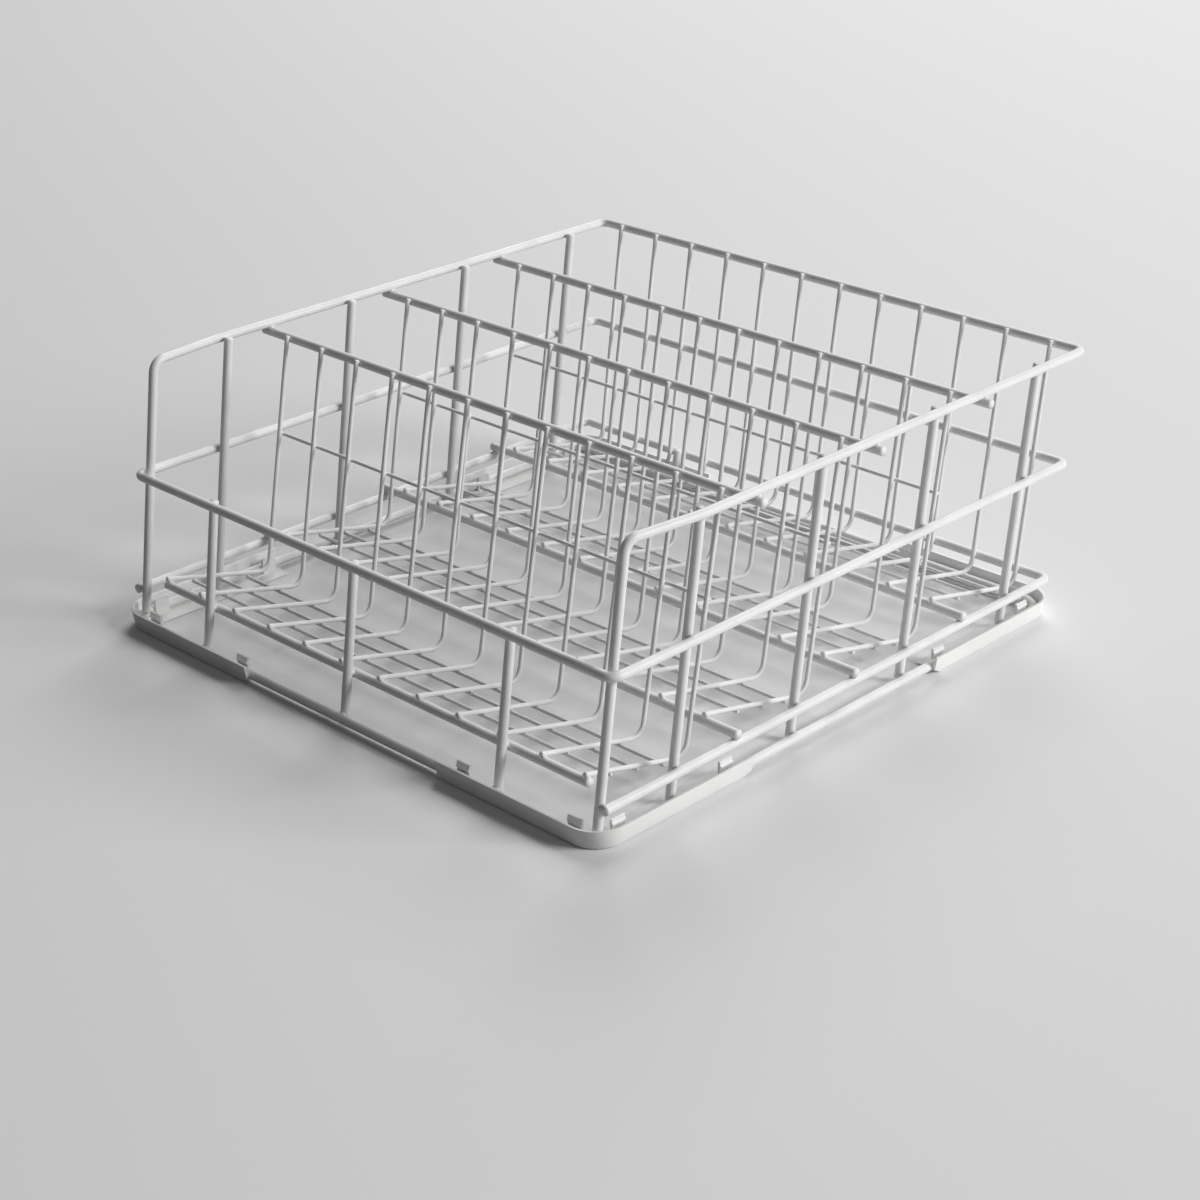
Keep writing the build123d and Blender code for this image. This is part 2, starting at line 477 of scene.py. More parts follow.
class Value:
    """A node's output, with operators that add Math nodes."""

    def __init__(self, sheet, socket):
        self.sheet = sheet
        self.socket = socket

    def math(self, operation, first, second):
        """A Math node on two values or numbers."""
        return self.sheet.node("ShaderNodeMath", {"operation": operation}, {0: first, 1: second})

    def __add__(self, other):
        return self.math("ADD", self, other)

    def __radd__(self, other):
        return self.math("ADD", other, self)

    def __sub__(self, other):
        return self.math("SUBTRACT", self, other)

    def __rsub__(self, other):
        return self.math("SUBTRACT", other, self)

    def __mul__(self, other):
        return self.math("MULTIPLY", self, other)

    def __rmul__(self, other):
        return self.math("MULTIPLY", other, self)


class NodeSheet:
    """The nodes of one material or of the world."""

    def __init__(self, owner):
        owner.use_nodes = True
        self.tree = owner.node_tree

    def shade(self, inputs):
        """Feed the material's main shader."""
        self.feed(self.tree.nodes["Principled BSDF"], inputs)

    def node(self, kind, settings, inputs, output=0):
        """Add a node, set it up, feed its sockets and return one of its outputs."""
        made = self.tree.nodes.new(kind)
        for key, setting in settings.items():
            setattr(made, key, setting)
        self.feed(made, inputs)
        return Value(self, made.outputs[output])

    def feed(self, node, inputs):
        """Link or set the sockets of a node."""
        for key, value in inputs.items():
            if isinstance(value, Value):
                self.tree.links.new(value.socket, node.inputs[key])
            else:
                node.inputs[key].default_value = value

    def noise(self, scale, detail):
        """Cloudy noise from 0 to 1 on the object's own coordinates."""
        place = self.node("ShaderNodeTexCoord", {}, {}, "Object")
        return self.node("ShaderNodeTexNoise", {}, {"Vector": place, "Scale": scale, "Detail": detail})

    def mix(self, mask, first, second):
        """Colour from first to second as the mask goes from 0 to 1."""
        return self.node(
            "ShaderNodeMix",
            {"data_type": "RGBA"},
            {
                "Factor": mask,
                FIRST_COLOUR: self.colour(first),
                SECOND_COLOUR: self.colour(second),
            },
            MIXED_COLOUR,
        )

    def seen(self):
        """1 for rays that show a thing in the picture, and 0 for rays that carry its light to others."""
        return sum(self.node("ShaderNodeLightPath", {}, {}, ray) for ray in SEEN_RAYS)

    def along(self, direction):
        """Distance of a place on the object along a level direction."""
        place = self.node("ShaderNodeTexCoord", {}, {}, "Object")
        return self.node(
            "ShaderNodeVectorMath", {"operation": "DOT_PRODUCT"}, {0: place, 1: direction}, "Value"
        )

    def colour(self, value):
        """A colour as a socket takes it: linked as it is, or with full alpha."""
        return value if isinstance(value, Value) else (*value, 1)

    def ramp(self, value, low, high):
        """0 below low, 1 above high, and smooth between."""
        return self.node(
            "ShaderNodeMapRange",
            {"interpolation_type": "SMOOTHSTEP"},
            {"Value": value, "From Min": low, "From Max": high},
        )

    def bump(self, height, strength, distance):
        """Normal of a surface raised by a height."""
        return self.node(
            "ShaderNodeBump",
            {},
            {"Height": height, "Strength": strength, "Distance": distance},
        )


# Finishes, with noise scales in cells a metre

MEAN_NOISE = 0.5
FLOW_SHADE = 0.95


def coating_material(finish):
    """Dipped plastic coating: white, satin, a little uneven in thickness, with a soft orange peel."""
    material = bpy.data.materials.new("coated_wire")
    sheet = NodeSheet(material)
    thickness = sheet.ramp(sheet.noise(scale=38.0, detail=3.0), low=0.32, high=0.62)
    peel = sheet.noise(scale=520.0, detail=2.0)
    ripple = sheet.noise(scale=150.0, detail=2.0)
    ripple_height = 2.5
    ripple_roughness = 0.08
    thin_roughness = 0.05
    roughness = finish.coating_roughness + ripple_roughness * (ripple - MEAN_NOISE)
    sheet.shade(
        {
            "Base Color": sheet.mix(thickness, finish.coating_thin, finish.coating),
            "Roughness": roughness + thin_roughness * (MEAN_NOISE - thickness),
            "Normal": sheet.bump(peel + ripple_height * ripple, strength=0.35, distance=0.00008),
            "Coat Weight": 0.08,
            "Coat Roughness": 0.3,
            "IOR": 1.5,
        },
    )
    return material


def moulding_material(finish):
    """Moulded plastic: white with a fine grain and faint flow marks."""
    material = bpy.data.materials.new("moulded_plastic")
    sheet = NodeSheet(material)
    flow = sheet.ramp(sheet.noise(scale=22.0, detail=4.0), low=0.3, high=0.7)
    grain = sheet.noise(scale=1400.0, detail=2.0)
    shade = [FLOW_SHADE * channel for channel in finish.moulding]
    grain_roughness = 0.1
    flow_roughness = 0.05
    roughness = finish.moulding_roughness + grain_roughness * (grain - MEAN_NOISE)
    sheet.shade(
        {
            "Base Color": sheet.mix(flow, shade, finish.moulding),
            "Roughness": roughness + flow_roughness * flow,
            "Normal": sheet.bump(grain, strength=0.3, distance=0.00005),
            "IOR": 1.49,
        },
    )
    return material


def floor_material(stage):
    """Plain pale floor, which throws back less light than it shows, and least on the shaded side."""
    material = bpy.data.materials.new("pale_floor")
    sheet = NodeSheet(material)
    half_width = CAD_BOX[1][0]
    right = (cos(stage.azimuth), sin(stage.azimuth), 0)
    lit = sheet.ramp(sheet.along(right), -half_width, half_width)
    bounce = sheet.mix(lit, stage.floor_bounce, stage.lit_bounce)
    sheet.shade(
        {
            "Base Color": sheet.mix(sheet.seen(), bounce, stage.floor),
            "Roughness": 0.6,
            "Specular IOR Level": 0.2,
        },
    )
    return material


def finish_piece(piece, material_name, slot, *nodes):
    """Give a piece its finish and its place on the frame, standing for the solids that it names."""
    piece.data.materials.clear()
    piece.data.materials.append(bpy.data.materials[material_name])
    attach(piece, ROOT_BODY)
    if nodes:
        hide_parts(*nodes)
    return piece


# Drawing of wires

FRAME_SIDES = 24
THIN_SIDES = 14
BEND_STEP = radians(9)
LEAST_BEND_STEPS = 2
END_SEGMENTS = 3
RUN_EASE = 0.5
RUN_SHARE = 1 / 3
MERGE_SHARE = 0.01
WELD_SLACK = 0.0002

straight_runs = []


def deselect():
    """Leave nothing selected, in object mode."""
    if bpy.context.mode != "OBJECT":
        bpy.ops.object.mode_set(mode="OBJECT")
    bpy.ops.object.select_all(action="DESELECT")


def make_active(piece):
    """Select one piece alone."""
    deselect()
    piece.select_set(True)
    bpy.context.view_layer.objects.active = piece


def draw_out(step):
    """Extrude what is selected by a step."""
    bpy.ops.mesh.extrude_region_move(TRANSFORM_OT_translate={"value": step})


def draw_run(start, end, radius):
    """Draw a straight run, with a ring close to each end to keep its shading straight."""
    run = end - start
    lead = run.normalized() * min(radius * RUN_EASE, run.length * RUN_SHARE)
    draw_out(lead)
    draw_out(run - 2 * lead)
    draw_out(lead)


def draw_wire(name, stops, bends, diameter, sides, end_round, closed=False):
    """One bent wire: a circle drawn out along each straight run and spun round each bend."""
    stops = [Vector(stop) for stop in stops]
    radius = diameter / 2
    point = stops[0]
    heading = (stops[1] - point).normalized()
    deselect()
    bpy.ops.mesh.primitive_circle_add(
        vertices=sides,
        radius=radius,
        location=point,
        rotation=heading.to_track_quat("Z", "X").to_euler(),
    )
    piece = bpy.context.object
    piece.name = piece.data.name = name
    bpy.ops.object.transform_apply()
    bpy.ops.object.mode_set(mode="EDIT")
    bpy.ops.mesh.select_mode(type="EDGE")
    bpy.ops.mesh.select_all(action="SELECT")
    for corner, after, bend in zip(stops[1:], stops[2:], bends):
        leaving = (after - corner).normalized()
        turn = heading.angle(leaving)
        axis = heading.cross(leaving).normalized()
        bend_start = corner - heading * (bend * tan(turn / 2))
        draw_run(point, bend_start, radius)
        straight_runs.append((name, point, bend_start, radius))
        pivot = bend_start + axis.cross(heading) * bend
        # With no window a spin turns left-handed about its axis
        steps = max(LEAST_BEND_STEPS, round(turn / BEND_STEP))
        bpy.ops.mesh.spin(steps=steps, angle=-turn, center=pivot, axis=axis)
        point = corner + leaving * (bend * tan(turn / 2))
        heading = leaving
    draw_run(point, stops[-1], radius)
    straight_runs.append((name, point, stops[-1], radius))
    bpy.ops.mesh.select_all(action="SELECT")
    if closed:
        bpy.ops.mesh.remove_doubles(threshold=radius * MERGE_SHARE)
    else:
        close_ends(piece, diameter * end_round)
    bpy.ops.mesh.select_all(action="SELECT")
    bpy.ops.mesh.normals_make_consistent(inside=False)
    bpy.ops.object.mode_set(mode="OBJECT")
    bpy.ops.object.shade_smooth()
    return piece


def close_ends(piece, rounding):
    """Close the open ends of a wire and round their edges."""
    bpy.ops.mesh.fill_holes(sides=0)
    bpy.ops.object.mode_set(mode="OBJECT")
    # Only the ends have more than four corners
    for face in piece.data.polygons:
        face.select = len(face.vertices) > 4
    bpy.ops.object.mode_set(mode="EDIT")
    bpy.ops.mesh.select_mode(type="FACE")
    bpy.ops.mesh.region_to_loop()
    bpy.ops.mesh.bevel(offset=rounding, segments=END_SEGMENTS, affect="EDGES", clamp_overlap=True)


def wire_settings(context):
    """Sizes of the coated wires."""
    return context.scene.rack_wire


def frame_piece(context, node, stops, bends=(), closed=False):
    """One frame wire in place of its solid."""
    wire = wire_settings(context)
    piece = draw_wire(
        f"{node}_wire", stops, bends, wire.frame_wire, FRAME_SIDES, wire.end_round, closed
    )
    return finish_piece(piece, "coated_wire", WIRE_SLOT, node)


def level_wire(context, node, sides):
    """One straight wire from left to right in place of its solid."""
    low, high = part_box(node)
    y, z = (low.y + high.y) / 2, (low.z + high.z) / 2
    end_round = wire_settings(context).end_round
    stops = [(low.x, y, z), (high.x, y, z)]
    piece = draw_wire(f"{node}_wire", stops, (), high.z - low.z, sides, end_round)
    return finish_piece(piece, "coated_wire", WIRE_SLOT, node)


def leaning_axis(node, radius, rake):
    """Foot and tip of the axis of a straight wire that leans back."""
    low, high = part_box(node)
    x = (low.x + high.x) / 2
    foot = Vector((x, low.y + radius * cos(rake), low.z + radius * sin(rake)))
    tip = Vector((x, high.y - radius * cos(rake), high.z - radius * sin(rake)))
    return foot, tip


class RACK_OT_finishes(Operator):
    """Make the materials of the rack"""

    bl_idname = "rack.finishes"
    bl_label = "Finishes"

    def execute(self, context):
        coating_material(context.scene.rack_finish)
        moulding_material(context.scene.rack_finish)
        return {"FINISHED"}


class RACK_OT_rings(Operator):
    """Draw the base ring and the middle ring"""

    bl_idname = "rack.rings"
    bl_label = "Rings"

    def execute(self, context):
        wire = wire_settings(context)
        inset = wire.frame_wire / 2
        for node, bend in (("base_ring", wire.base_bend), ("mid_ring", wire.tight_bend)):
            low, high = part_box(node)
            z = (low.z + high.z) / 2
            left, right = low.x + inset, high.x - inset
            front, back = low.y + inset, high.y - inset
            joint = (0, front, z)
            corners = [(right, front, z), (right, back, z), (left, back, z), (left, front, z)]
            frame_piece(context, node, [joint, *corners, joint], [bend] * len(corners), closed=True)
        return {"FINISHED"}


class RACK_OT_rails(Operator):
    """Draw the lower rail and the top rail with its front legs"""

    bl_idname = "rack.rails"
    bl_label = "Rails"

    def execute(self, context):
        self.lower(context)
        self.top(context)
        return {"FINISHED"}

    def lower(self, context):
        """The U round the sides and the back."""
        wire = wire_settings(context)
        inset = wire.frame_wire / 2
        low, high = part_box("lower_rail")
        z = (low.z + high.z) / 2
        back = high.y - inset
        stops = [
            (low.x + inset, low.y, z),
            (low.x + inset, back, z),
            (high.x - inset, back, z),
            (high.x - inset, low.y, z),
        ]
        frame_piece(context, "lower_rail", stops, [wire.tight_bend] * 2)

    def top(self, context):
        """The rail from foot to foot, which swings out past the first side posts."""
        wire = wire_settings(context)
        inset = wire.frame_wire / 2
        low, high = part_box("top_rail")
        z = high.z - inset
        leg_x = high.x - inset - wire.frame_wire - wire.weld_gap
        foot_y = low.y + inset * cos(wire.post_rake)
        foot_z = low.z + inset * sin(wire.post_rake)
        front_y = foot_y + (z - foot_z) * tan(wire.post_rake)
        post_foot = leaning_axis("side_post_right_1", inset, wire.post_rake)[0]
        jog_y = post_foot.y + (z - post_foot.z) * tan(wire.post_rake) - wire.jog_lead
        right_run = [
            (leg_x, foot_y, foot_z),
            (leg_x, front_y, z),
            (high.x - inset, jog_y, z),
            (high.x - inset, high.y - inset, z),
        ]
        left_run = [(-x, y, z) for x, y, z in right_run]
        bends = [wire.front_bend, wire.jog_bend, wire.tight_bend]
        frame_piece(context, "top_rail", left_run + right_run[::-1], bends + bends[::-1])


class RACK_OT_posts(Operator):
    """Draw the side, front and back posts"""

    bl_idname = "rack.posts"
    bl_label = "Posts"

    def execute(self, context):
        wire = wire_settings(context)
        nodes = [f"front_post_{n}" for n in range(1, FRONT_POST_COUNT + 1)]
        for side in SIDES:
            nodes += [f"side_post_{side}_{n}" for n in range(1, SIDE_POST_COUNT + 1)]
            nodes.append(f"back_post_{side}")
        for node in nodes:
            frame_piece(context, node, leaning_axis(node, wire.frame_wire / 2, wire.post_rake))
        return {"FINISHED"}


class RACK_OT_bars(Operator):
    """Draw the cross bars and the divider bars"""

    bl_idname = "rack.bars"
    bl_label = "Bars"

    def execute(self, context):
        for row in range(1, ROW_COUNT + 1):
            level_wire(context, f"cross_bar_{row}", FRAME_SIDES)
        for row in range(1, ROW_COUNT):
            level_wire(context, f"divider_bar_{row}", FRAME_SIDES)
        return {"FINISHED"}


class RACK_OT_rods(Operator):
    """Draw the thin rods across the rows"""

    bl_idname = "rack.rods"
    bl_label = "Rods"

    def execute(self, context):
        for row in range(1, ROW_COUNT + 1):
            for number in range(1, FLOOR_ROD_COUNT + 1):
                level_wire(context, f"floor_rod_{row}_{number}", THIN_SIDES)
        for row in range(1, ROW_COUNT):
            level_wire(context, f"divider_rod_{row}", THIN_SIDES)
        return {"FINISHED"}


class RACK_OT_glass_wires(Operator):
    """Draw the rows of bent wires that hold the glasses"""

    bl_idname = "rack.glass_wires"
    bl_label = "Glass Wires"

    def execute(self, context):
        for row in range(1, ROW_COUNT + 1):
            self.row(context, row)
        return {"FINISHED"}

    def row(self, context, row):
        """One row: its first wire, and copies of it side by side."""
        wire = wire_settings(context)
        node = f"glass_wires_row_{row}"
        low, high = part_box(node)
        first_x = low.x + wire.slot_wire / 2
        pitch = (high.x - low.x - wire.slot_wire) / (wire.slot_count - 1)
        stops = [(first_x, y, z) for y, z in self.outline(wire, row)]
        piece = draw_wire(
            f"{node}_wire", stops, [wire.slot_bend], wire.slot_wire, THIN_SIDES, wire.end_round
        )
        first_runs = straight_runs[-2:]
        for place in range(1, wire.slot_count):
            shift = Vector((pitch * place, 0, 0))
            for name, start, end, radius in first_runs:
                straight_runs.append((name, start + shift, end + shift, radius))
        make_active(piece)
        bpy.ops.object.modifier_add(type="ARRAY")
        array = piece.modifiers[-1]
        array.count = wire.slot_count
        array.use_relative_offset = False
        array.use_constant_offset = True
        array.constant_offset_displace = (pitch, 0, 0)
        bpy.ops.object.modifier_apply(modifier=array.name)
        finish_piece(piece, "coated_wire", WIRE_SLOT, node)

    def outline(self, wire, row):
        """Y and Z of a glass wire's front end, corner and top."""
        bar = middle(f"cross_bar_{row}")
        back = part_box("top_rail")[1] - Vector((1, 1, 1)) * (wire.frame_wire / 2)
        carrier = middle(f"divider_bar_{row}") if row < ROW_COUNT else back
        step = (wire.frame_wire + wire.slot_wire) / 2 + wire.weld_gap
        corner_z = wire.slot_corner_z
        first_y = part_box("corner_guard_front_right")[0].y + wire.first_corner_inset
        last_y = back.y - step / cos(wire.post_rake) - (back.z - corner_z) * tan(wire.post_rake)
        corner_y = first_y + (last_y - first_y) * (row - 1) / (ROW_COUNT - 1)
        rise, run = carrier.z - corner_z, carrier.y - corner_y
        rake = atan2(run, rise) - asin(step / hypot(run, rise))
        reach = hypot(corner_y - bar.y, bar.z - corner_z)
        pitch = atan2(bar.z - corner_z, corner_y - bar.y) + asin(step / reach)
        floor_run = sqrt(reach**2 - step**2) + wire.slot_tip_over
        top_z = carrier.z + wire.frame_wire / 2
        lean_run = (top_z - corner_z) / cos(rake) - wire.slot_wire / 2 * tan(rake)
        return [
            (corner_y - floor_run * cos(pitch), corner_z + floor_run * sin(pitch)),
            (corner_y, corner_z),
            (corner_y + lean_run * sin(rake), corner_z + lean_run * cos(rake)),
        ]


# Welds, where the coating runs into the corner between two crossing wires

WELD_SIDES = 12
WELD_SINK = 0.0003
WELD_SPREAD = (0.98, 1.12, 0.84, 1.12, 0.98)
LEAST_WELD = 0.5
RADIUS_DIGITS = 5


def crossings():
    """Pairs of straight runs of different wires that touch, with the nearest points of their axes."""
    for first, second in combinations(straight_runs, 2):
        name_a, start_a, end_a, radius_a = first
        name_b, start_b, end_b, radius_b = second
        if name_a == name_b:
            continue
        nearest = intersect_line_line(start_a, end_a, start_b, end_b)
        if nearest is None:
            continue
        on_a, on_b = nearest
        if (on_b - on_a).length < radius_a + radius_b + WELD_SLACK:
            yield first, second, on_a, on_b


def span(point, start, end, reach):
    """Share of a weld's reach that a run's ends leave free, and the shift that centres it there."""
    run = (end - start).normalized()
    behind = min(reach, (point - start).dot(run))
    ahead = min(reach, (end - point).dot(run))
    return (behind + ahead) / (2 * reach), run * ((ahead - behind) / 2)


def weld_template(radius_a, radius_b, gap, rise):
    """A weld at the origin, between a wire along X below and a wire along Y above."""
    deselect()
    bpy.ops.mesh.primitive_circle_add(vertices=WELD_SIDES, radius=1, fill_type="NGON")
    piece = bpy.context.object
    bpy.ops.object.mode_set(mode="EDIT")
    bpy.ops.mesh.select_mode(type="FACE")
    bpy.ops.mesh.select_all(action="SELECT")
    for _ in WELD_SPREAD[1:]:
        draw_out((0, 0, 1))
    bpy.ops.mesh.select_all(action="SELECT")
    bpy.ops.mesh.fill_holes(sides=0)
    bpy.ops.object.mode_set(mode="OBJECT")
    reach_x = sqrt(2 * radius_b * rise - rise**2)
    reach_y = sqrt(2 * radius_a * rise - rise**2)
    for vertex in piece.data.vertices:
        level = round(vertex.co.z)
        angle = atan2(vertex.co.y, vertex.co.x)
        x = WELD_SPREAD[level] * reach_x * cos(angle)
        y = WELD_SPREAD[level] * reach_y * sin(angle)
        below = -gap / 2 - radius_a + sqrt(radius_a**2 - y**2)
        above = gap / 2 + radius_b - sqrt(radius_b**2 - x**2)
        heights = (below - WELD_SINK, below, (below + above) / 2, above, above + WELD_SINK)
        vertex.co = (x, y, heights[level])
    bpy.ops.object.mode_set(mode="EDIT")
    bpy.ops.mesh.select_all(action="SELECT")
    bpy.ops.mesh.normals_make_consistent(inside=False)
    bpy.ops.object.mode_set(mode="OBJECT")
    bpy.ops.object.shade_smooth()
    return piece


class RACK_OT_welds(Operator):
    """Fill the welds between crossing wires"""

    bl_idname = "rack.welds"
    bl_label = "Welds"

    def execute(self, context):
        wire = wire_settings(context)
        mean_radius = (wire.frame_wire + wire.slot_wire) / 4
        templates = {}
        groups = {}
        for first, second, on_a, on_b in crossings():
            _, start_a, end_a, radius_a = first
            _, start_b, end_b, radius_b = second
            kind = (round(radius_a, RADIUS_DIGITS), round(radius_b, RADIUS_DIGITS))
            if kind not in templates:
                rise = wire.weld_rise * 2 * min(kind)
                templates[kind] = weld_template(radius_a, radius_b, wire.weld_gap, rise)
            reach = templates[kind].dimensions / 2
            fit_a, shift_a = span(on_a, start_a, end_a, reach.x)
            fit_b, shift_b = span(on_b, start_b, end_b, reach.y)
            if min(fit_a, fit_b) < LEAST_WELD:
                continue
            bead = templates[kind].copy()
            bead.data = templates[kind].data.copy()
            bead.data.transform(Matrix.Diagonal((fit_a, fit_b, 1, 1)))
            bead.data.transform(self.place(on_a, on_b, end_a - start_a, radius_a, radius_b))
            bead.data.transform(Matrix.Translation(shift_a + shift_b))
            context.scene.collection.objects.link(bead)
            group = "frame" if min(kind) > mean_radius else "row"
            groups.setdefault(group, []).append(bead)
        for template in templates.values():
            bpy.data.objects.remove(template)
        for group, beads in groups.items():
            make_active(beads[0])
            for bead in beads:
                bead.select_set(True)
            bpy.ops.object.join()
            beads[0].name = beads[0].data.name = f"{group}_welds"
            finish_piece(beads[0], "coated_wire", WIRE_SLOT)
        return {"FINISHED"}

    def place(self, on_a, on_b, run_a, radius_a, radius_b):
        """Matrix from a weld at the origin to a crossing."""
        up = (on_b - on_a).normalized()
        along = (run_a - up * run_a.dot(up)).normalized()
        turn = Matrix((along, up.cross(along), up)).transposed().to_4x4()
        middle_of_gap = on_a + up * (radius_a + ((on_b - on_a).length - radius_a - radius_b) / 2)
        return Matrix.Translation(middle_of_gap) @ turn


# Guards

GUARD_STEPS = 14
EDGE_SEGMENTS = 2
SMOOTH_ANGLE = radians(32)
FRONT = Vector((0, -1, 0))
RIGHT = Vector((1, 0, 0))
BACK = Vector((0, 1, 0))
UP = Vector((0, 0, 1))


def section_piece(name, points, origin, outward, rounding):
    """A flat face with the outline of a moulding's section, its corners rounded, left in edit mode."""
    deselect()
    bpy.ops.mesh.primitive_circle_add(vertices=len(points), fill_type="NGON")
    piece = bpy.context.object
    piece.name = piece.data.name = name
    for vertex, (out, z) in zip(piece.data.vertices, points):
        vertex.co = origin + outward * out + UP * z
    bpy.ops.object.mode_set(mode="EDIT")
    bpy.ops.mesh.select_mode(type="VERT")
    bpy.ops.mesh.select_all(action="SELECT")
    bpy.ops.mesh.bevel(offset=rounding, segments=EDGE_SEGMENTS, affect="VERTICES")
    bpy.ops.mesh.select_mode(type="FACE")
    bpy.ops.mesh.select_all(action="SELECT")
    return piece


def shut(piece):
    """Close a drawn moulding and turn its faces outwards."""
    bpy.ops.mesh.select_all(action="SELECT")
    bpy.ops.mesh.fill_holes(sides=0)
    bpy.ops.mesh.normals_make_consistent(inside=False)
    bpy.ops.object.mode_set(mode="OBJECT")
    return piece


def unite(piece, other):
    """Join another closed shape to a piece as one moulding."""
    make_active(piece)
    bpy.ops.object.modifier_add(type="BOOLEAN")
    union = piece.modifiers[-1]
    union.operation = "UNION"
    union.solver = "EXACT"
    union.object = other
    bpy.ops.object.modifier_apply(modifier=union.name)
    bpy.data.objects.remove(other)


class GuardPlace:
    """Where the front right guard lies. Distances named out or in are from the base ring's axis."""

    def __init__(self, guard):
        self.low, self.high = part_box("corner_guard_front_right")
        ring_low, ring_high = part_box("base_ring")
        ring_radius = (ring_high.z - ring_low.z) / 2
        self.ring_x = ring_high.x - ring_radius
        self.ring_y = ring_low.y + ring_radius
        self.ring_top = ring_high.z
        self.rim_out = self.high.x - self.ring_x
        self.tab_out = -ring_radius - guard.ring_clearance
        self.sole_in = self.tab_out - guard.tab


class RACK_OT_guards(Operator):
    """Mould the four corner guards"""

    bl_idname = "rack.guards"
    bl_label = "Corner Guards"

    def execute(self, context):
        front_right = self.mould(context.scene.rack_guard)
        middle_y = middle("base_ring").y
        for node, flip in (
            ("corner_guard_front_left", (-1, 1)),
            ("corner_guard_back_right", (1, -1)),
            ("corner_guard_back_left", (-1, -1)),
        ):
            self.mirrored(context, front_right, node, flip, middle_y)
        finish_piece(front_right, "moulded_plastic", GUARD_SLOT, "corner_guard_front_right")
        return {"FINISHED"}

    def mould(self, guard):
        """The front right guard: wall and sole round the corner, four clip tabs, a runner and slopes."""
        place = GuardPlace(guard)
        low, high = place.low, place.high
        piece = self.wall(guard, place)
        for inset in (guard.corner_tab_inset, high.x - low.x - guard.end_tab_inset):
            front_start = Vector((high.x - inset - guard.tab_width / 2, place.ring_y, 0))
            side_start = Vector((place.ring_x, low.y + inset - guard.tab_width / 2, 0))
            unite(piece, self.clip_tab(guard, place, front_start, FRONT, RIGHT))
            unite(piece, self.clip_tab(guard, place, side_start, RIGHT, BACK))
        unite(piece, self.runner(guard, place))
        self.lead_in(piece, Vector((low.x, place.ring_y, guard.lead_in_height)), -RIGHT, guard)
        self.lead_in(piece, Vector((place.ring_x, high.y, guard.lead_in_height)), BACK, guard)
        make_active(piece)
        bpy.ops.object.shade_smooth_by_angle(angle=SMOOTH_ANGLE)
        return piece

    def wall(self, guard, place):
        """Wall and sole, drawn along the front, round the corner and along the side."""
        rim_out, rim_z = place.rim_out, place.high.z
        foot_out = rim_out - guard.draft
        bevel_out = foot_out + guard.draft * guard.foot_bevel / rim_z
        sole_wall_out = foot_out + guard.draft * guard.sole / rim_z - guard.wall
        section = [
            (place.sole_in, 0),
            (foot_out - guard.foot_bevel, 0),
            (bevel_out, guard.foot_bevel),
            (rim_out, rim_z),
            (rim_out - guard.wall, rim_z),
            (sole_wall_out, guard.sole),
            (place.sole_in, guard.sole),
        ]
        bend = guard.corner - rim_out
        start = Vector((place.low.x, place.ring_y, 0))
        pivot = (place.ring_x - bend, place.ring_y + bend, 0)
        name = "corner_guard_front_right_moulding"
        piece = section_piece(name, section, start, FRONT, guard.edge_round)
        draw_out(RIGHT * (pivot[0] - start.x))
        bpy.ops.mesh.spin(steps=GUARD_STEPS, angle=-pi / 2, center=pivot, axis=UP)
        draw_out(BACK * (place.high.y - pivot[1]))
        return shut(piece)

    def clip_tab(self, guard, place, start, outward, along):
        """A tab that stands inside the base ring, with a nib over it."""
        tab_out = place.tab_out
        nib_z = place.ring_top + guard.ring_clearance
        section = [
            (place.sole_in, guard.sole / 2),
            (place.sole_in, guard.tab_top),
            (tab_out, guard.tab_top),
            (tab_out, nib_z + guard.nib_height),
            (tab_out + guard.nib, nib_z + guard.nib),
            (tab_out, nib_z),
            (tab_out, guard.sole / 2),
        ]
        piece = section_piece("clip_tab", section, start, outward, guard.edge_round)
        draw_out(along * guard.tab_width)
        return shut(piece)

    def runner(self, guard, place):
        """The plate that widens the sole of the side leg."""
        outer, inner = place.sole_in + guard.tab / 2, place.sole_in - guard.runner_width
        section = [(outer, 0), (outer, guard.runner), (inner, guard.runner), (inner, 0)]
        start = Vector((place.ring_x, place.ring_y - place.sole_in, 0))
        piece = section_piece("runner", section, start, RIGHT, guard.edge_round)
        draw_out(BACK * (place.high.y - start.y))
        return shut(piece)

    def lead_in(self, piece, end, outward, guard):
        """Cut the slope under the end of a leg."""
        slope = outward * guard.lead_in_height - UP * guard.lead_in_length
        make_active(piece)
        bpy.ops.object.mode_set(mode="EDIT")
        bpy.ops.mesh.select_all(action="SELECT")
        bpy.ops.mesh.bisect(plane_co=end, plane_no=slope.normalized(), use_fill=True, clear_outer=True)
        bpy.ops.object.mode_set(mode="OBJECT")

    def mirrored(self, context, source, node, flip, middle_y):
        """A mirror image of a guard in place of its solid."""
        piece = bpy.data.objects.new(f"{node}_moulding", source.data.copy())
        context.scene.collection.objects.link(piece)
        flip_x, flip_y = flip
        shift = Matrix.Translation((0, middle_y * (1 - flip_y), 0))
        piece.data.transform(shift @ Matrix.Diagonal((flip_x, flip_y, 1, 1)))
        if flip_x * flip_y < 0:
            piece.data.flip_normals()
        finish_piece(piece, "moulded_plastic", GUARD_SLOT, node)


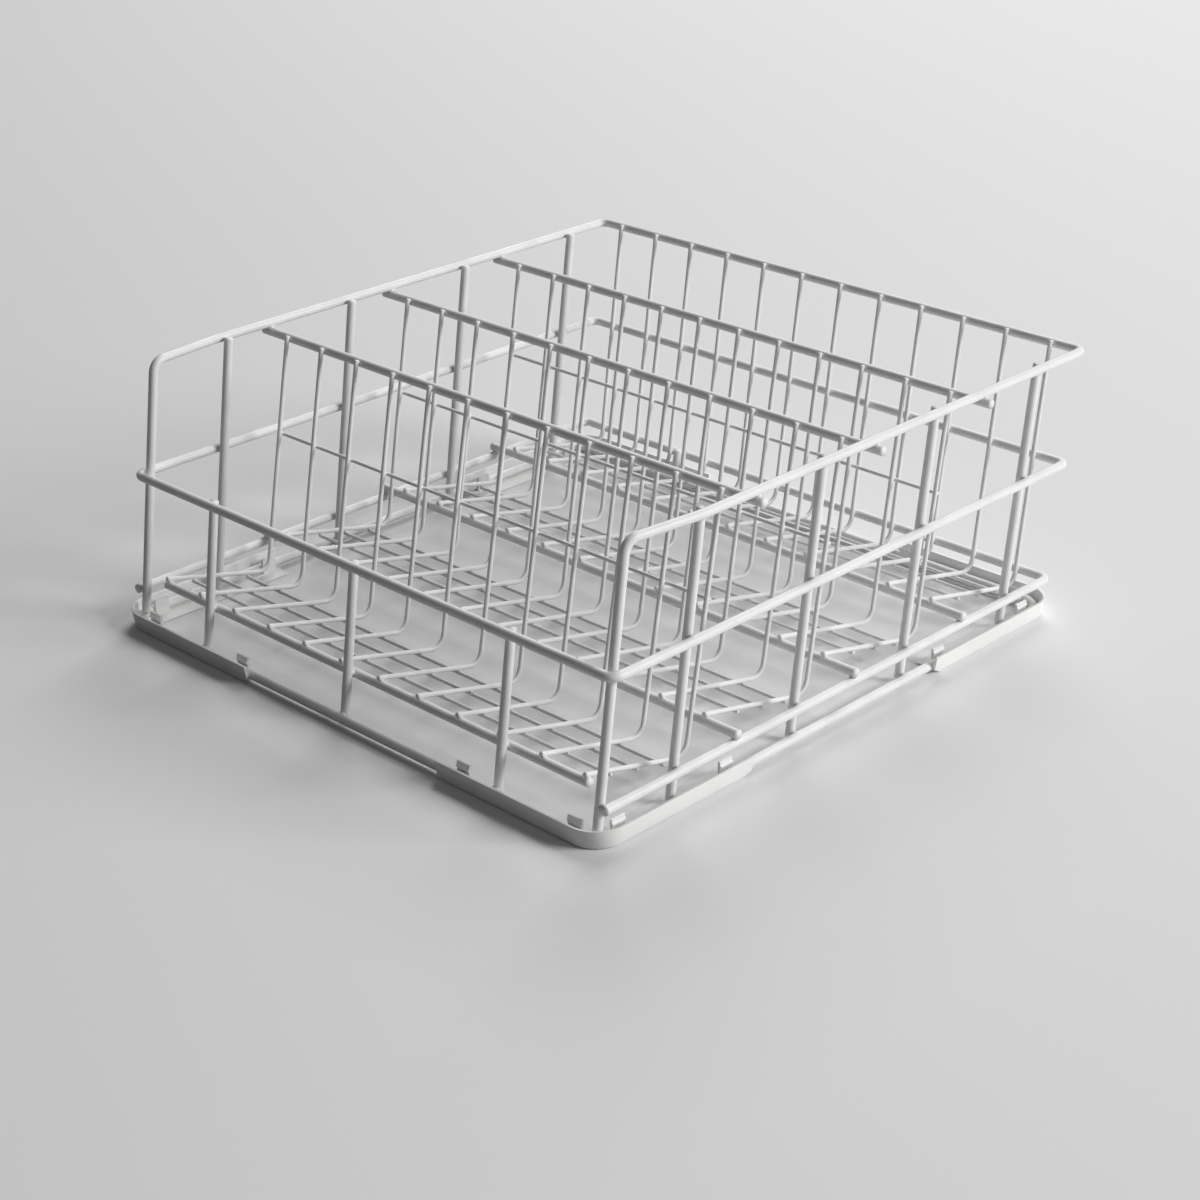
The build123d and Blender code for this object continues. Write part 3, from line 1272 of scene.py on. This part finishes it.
class RACK_OT_stage(Operator):
    """Set the floor, the lamps and the camera"""

    bl_idname = "rack.stage"
    bl_label = "Stage"

    def execute(self, context):
        stage = context.scene.rack_stage
        self.floor(stage)
        self.lamps(context, stage)
        self.camera(context, stage)
        context.scene.view_settings.view_transform = "Standard"
        return {"FINISHED"}

    def floor(self, stage):
        """A plain floor under the rack."""
        deselect()
        bpy.ops.mesh.primitive_plane_add(size=stage.floor_size)
        floor = bpy.context.object
        floor.name = floor.data.name = "floor"
        floor.data.materials.append(floor_material(stage))

    def lamps(self, context, stage):
        """Two soft lamps, and a world that gives a little light from all round."""
        self.lamp("side_lamp", Vector(stage.side_place), stage.side_power, stage.side_size)
        self.lamp("back_lamp", Vector(stage.back_place), stage.back_power, stage.back_size)
        world = context.scene.world or bpy.data.worlds.new("studio")
        context.scene.world = world
        sheet = NodeSheet(world)
        strength = stage.fill + (stage.backdrop - stage.fill) * sheet.seen()
        sheet.feed(world.node_tree.nodes["Background"], {"Color": (1, 1, 1, 1), "Strength": strength})

    def lamp(self, name, place, power, size):
        """A soft round lamp that points at the origin."""
        deselect()
        turn = place.to_track_quat("Z", "Y").to_euler()
        bpy.ops.object.light_add(type="AREA", location=place, rotation=turn)
        lamp = bpy.context.object
        lamp.name = lamp.data.name = name
        lamp.data.shape = "DISK"
        lamp.data.size = size
        lamp.data.energy = power

    def camera(self, context, stage):
        """A camera at the photograph's viewing angle."""
        azimuth, elevation = stage.azimuth, stage.elevation
        back = Vector(
            (
                sin(azimuth) * cos(elevation),
                -cos(azimuth) * cos(elevation),
                sin(elevation),
            )
        )
        turn = back.to_track_quat("Z", "Y").to_matrix() @ Matrix.Rotation(stage.roll, 3, "Z")
        deselect()
        bpy.ops.object.camera_add(
            location=Vector(stage.target) + back * stage.distance, rotation=turn.to_euler()
        )
        camera = bpy.context.object
        camera.name = camera.data.name = "photo_camera"
        camera.data.sensor_width = SENSOR_WIDTH
        camera.data.lens = stage.focal
        context.scene.camera = camera


class RACK_PT_panel(Panel):
    """Steps that dress the rack"""

    bl_label = "Glass Rack"
    bl_idname = "RACK_PT_panel"
    bl_space_type = "VIEW_3D"
    bl_region_type = "UI"
    bl_category = "Rack"

    def draw(self, context):
        for operator in OPERATORS:
            self.layout.operator(operator.bl_idname)


SETTINGS = {
    "rack_wire": RackWireSettings,
    "rack_guard": RackGuardSettings,
    "rack_finish": RackFinishSettings,
    "rack_stage": RackStageSettings,
}
OPERATORS = (
    RACK_OT_finishes,
    RACK_OT_rings,
    RACK_OT_rails,
    RACK_OT_posts,
    RACK_OT_bars,
    RACK_OT_rods,
    RACK_OT_glass_wires,
    RACK_OT_welds,
    RACK_OT_guards,
    RACK_OT_stage,
)
CLASSES = (*SETTINGS.values(), *OPERATORS, RACK_PT_panel)


def register():
    """Register the classes and hang the settings on the scene."""
    for cls in CLASSES:
        bpy.utils.register_class(cls)
    for name, cls in SETTINGS.items():
        setattr(bpy.types.Scene, name, PointerProperty(type=cls))


def unregister():
    """Take the settings and the classes away again."""
    for name in SETTINGS:
        delattr(bpy.types.Scene, name)
    for cls in reversed(CLASSES):
        bpy.utils.unregister_class(cls)


def main():
    """Dress the rack."""
    register()
    bpy.ops.rack.finishes()
    bpy.ops.rack.rings()
    bpy.ops.rack.rails()
    bpy.ops.rack.posts()
    bpy.ops.rack.bars()
    bpy.ops.rack.rods()
    bpy.ops.rack.glass_wires()
    bpy.ops.rack.welds()
    bpy.ops.rack.guards()
    bpy.ops.rack.stage()


if __name__ == "__main__":
    main()
